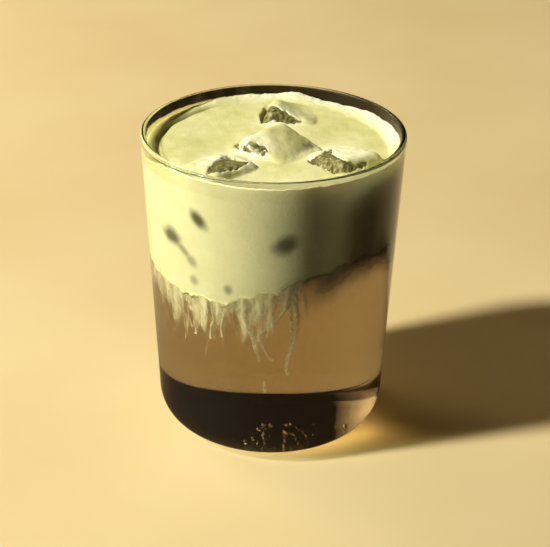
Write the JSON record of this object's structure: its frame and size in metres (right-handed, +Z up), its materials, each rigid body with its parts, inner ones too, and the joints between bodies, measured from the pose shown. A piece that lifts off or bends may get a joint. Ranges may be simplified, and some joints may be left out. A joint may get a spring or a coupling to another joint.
{
  "type": "iced matcha latte in a glass",
  "caption": "Iced matcha latte: opaque foamy matcha layer over a clear drink with hanging milk drips and ice, in a round-bottomed straight glass tumbler.",
  "frame": {"origin": "centre of the flat foot that the glass stands on", "axes": "+Z up along the glass's axis; the side shown in the picture faces -Y, and its left is -X"},
  "size_m": [0.084, 0.084, 0.101],
  "materials": {
    "glass": "clear soda-lime glass, polished, with a faint olive tint in the thick floor",
    "clear_drink": "clear, faintly hazy tan drink",
    "matcha_foam": "opaque pale yellow-green milk and matcha with fine foam",
    "ice": "wet, cloudy ice with a foam film"
  },
  "bodies": {
    "root": {"tumbler": "glass", "clear_drink": "clear_drink", "matcha_layer": "matcha_foam", "ice_back": "ice", "ice_centre": "ice", "ice_front": "ice", "ice_right": "ice"}
  },
  "joints": []
}
